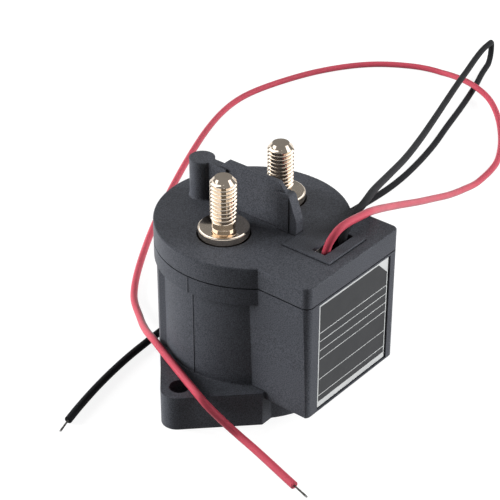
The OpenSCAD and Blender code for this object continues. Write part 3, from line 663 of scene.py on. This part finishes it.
def add_lamp(name, turn, height, power):
    """Square softbox, hidden from reflections; glowing planes paint its reflection instead."""
    data = bpy.data.lights.new(name, "AREA")
    data.shape = "RECTANGLE"
    data.size = data.size_y = LAMP_SIZE * MM
    data.energy = power
    lamp = bpy.data.objects.new(name, data)
    away = bearing(VIEW_AZIMUTH + turn, height)
    lamp.location = metres(LAMP_AIM) + away * LAMP_DISTANCE * MM
    lamp.rotation_euler = (-away).to_track_quat("-Z", "Y").to_euler()
    lamp.visible_camera = False
    lamp.visible_glossy = False
    bpy.context.scene.collection.objects.link(lamp)


def seen_directly(tree):
    """1 for rays from the camera, mirrors and glass, which show the white background."""
    path = tree.nodes.new("ShaderNodeLightPath")
    total = path.outputs["Is Camera Ray"]
    for name in ("Is Glossy Ray", "Is Transmission Ray"):
        either = tree.nodes.new("ShaderNodeMath")
        either.operation = "MAXIMUM"
        tree.links.new(total, either.inputs[0])
        tree.links.new(path.outputs[name], either.inputs[1])
        total = either.outputs[0]
    return total


def add_floor():
    """White table that keeps the object's shadow."""

    def build(bm):
        half = FLOOR_HALF
        corners = ((-half, -half), (half, -half), (half, half), (-half, half))
        bm.faces.new([bm.verts.new(metres((x, y, -FLOOR_DROP))) for x, y in corners])

    floor = bpy.data.objects.new("floor", mesh_from("floor", build))
    bpy.context.scene.collection.objects.link(floor)
    material = bpy.data.materials.new("white_floor")
    material.use_nodes = True
    tree = material.node_tree
    tree.nodes.clear()
    output = tree.nodes.new("ShaderNodeOutputMaterial")
    shade = tree.nodes.new("ShaderNodeBsdfDiffuse")
    shade.inputs["Color"].default_value = (*grey(FLOOR_GREY), 1)
    white = tree.nodes.new("ShaderNodeEmission")
    white.inputs["Color"].default_value = (1, 1, 1, 1)
    glow = tree.nodes.new("ShaderNodeMath")
    glow.operation = "MULTIPLY"
    glow.inputs[1].default_value = FLOOR_GLOW
    tree.links.new(seen_directly(tree), glow.inputs[0])
    tree.links.new(glow.outputs[0], white.inputs["Strength"])
    both = tree.nodes.new("ShaderNodeAddShader")
    tree.links.new(shade.outputs[0], both.inputs[0])
    tree.links.new(white.outputs[0], both.inputs[1])
    tree.links.new(both.outputs[0], output.inputs["Surface"])
    floor.data.materials.append(material)


def add_world():
    world = bpy.data.worlds.new("studio")
    world.use_nodes = True
    bpy.context.scene.world = world
    tree = world.node_tree
    sky = tree.nodes["Background"]
    sky.inputs["Color"].default_value = (1, 1, 1, 1)
    level = tree.nodes.new("ShaderNodeMapRange")
    level.inputs["To Min"].default_value = AMBIENT
    level.inputs["To Max"].default_value = 1.0
    tree.links.new(seen_directly(tree), level.inputs["Value"])
    tree.links.new(level.outputs["Result"], sky.inputs["Strength"])


def add_reflection_glow(name, corners, level):
    """Glowing plane round the table that shows in reflections alone and lights nothing: a painted
    reflection.
    """

    def build(bm):
        bm.faces.new([bm.verts.new(corner) for corner in corners])

    glow_plane = bpy.data.objects.new(name, mesh_from(name, build))
    bpy.context.scene.collection.objects.link(glow_plane)
    glow_plane.visible_camera = False
    glow_plane.visible_diffuse = False
    glow_plane.visible_shadow = False
    material = bpy.data.materials.new(name)
    material.use_nodes = True
    surface = material.node_tree.nodes["Principled BSDF"]
    surface.inputs["Base Color"].default_value = (0, 0, 0, 1)
    surface.inputs["Specular IOR Level"].default_value = 0
    surface.inputs["Emission Color"].default_value = (1, 1, 1, 1)
    surface.inputs["Emission Strength"].default_value = level
    glow_plane.data.materials.append(material)


def level_reflection_glow(name, sides, depths, height, level):
    """Level glowing plane at a height, between distances to the camera's right and towards it, in
    metres; it paints a reflection.
    """
    near = bearing(VIEW_AZIMUTH, 0)
    right = Vector((-near.y, near.x, 0))
    corners = []
    for side, depth in ((0, 0), (0, 1), (1, 1), (1, 0)):
        corners.append(right * sides[side] + near * depths[depth] + Vector((0, 0, height)))
    add_reflection_glow(name, corners, level)


def add_painted_reflections():
    # Painted reflections: a dim glow overhead, bright glows at both sides, and a dim patch in front that
    # paints a dark reflection
    level_reflection_glow("ceiling_reflection_glow", sides=(-6, 6), depths=(-6, 6), height=1.6, level=0.24)
    level_reflection_glow("left_reflection_glow", sides=(-2.5, -0.4), depths=(-2.5, 0.5), height=1.5, level=1.9)
    level_reflection_glow("right_reflection_glow", sides=(0.4, 2.5), depths=(-2.5, 0.5), height=1.5, level=1.9)
    level_reflection_glow("front_dark_reflection", sides=(-0.06, 0.06), depths=(0.07, 0.19), height=0.0002, level=0.12)


add_camera()
add_floor()
add_painted_reflections()
add_world()
add_lamp("left_softbox", **LEFT_LAMP)
add_lamp("right_softbox", **RIGHT_LAMP)
bpy.context.scene.view_settings.view_transform = "Standard"
